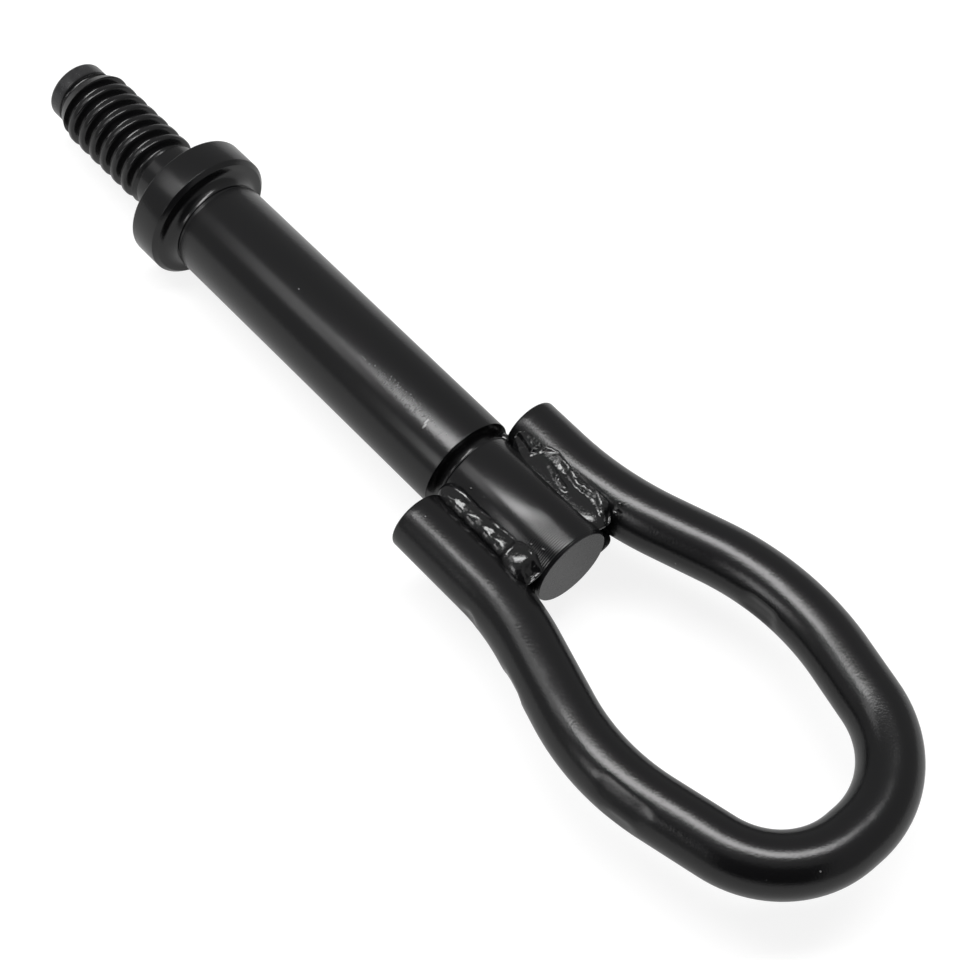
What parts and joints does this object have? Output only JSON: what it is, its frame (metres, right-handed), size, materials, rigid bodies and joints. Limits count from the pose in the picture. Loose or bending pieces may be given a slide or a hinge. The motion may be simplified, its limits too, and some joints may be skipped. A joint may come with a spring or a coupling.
{
  "type": "tow eye",
  "caption": "Screw-in tow eye: a turned shank with a left-hand rope thread and a stop collar, and a long bent-bar eye welded to its other end.",
  "frame": {"origin": "centre of the collar's front face, where the tow eye stops against the car's socket", "axes": "+X along the shank from the collar to the eye, with the thread on the -X side; the eye lies in the XY plane; +Z is square to the eye"},
  "size_m": [0.2244, 0.0599, 0.0273],
  "materials": {
    "coated_steel": "semi-gloss black dip coat over turned and bent steel",
    "coated_weld": "glossier black coat over rippled weld beads"
  },
  "bodies": {
    "root": {"shank": "coated_steel", "eye_loop": "coated_steel", "weld_right_top": "coated_weld", "weld_left_top": "coated_weld", "weld_right_bottom": "coated_weld", "weld_left_bottom": "coated_weld"}
  },
  "joints": []
}
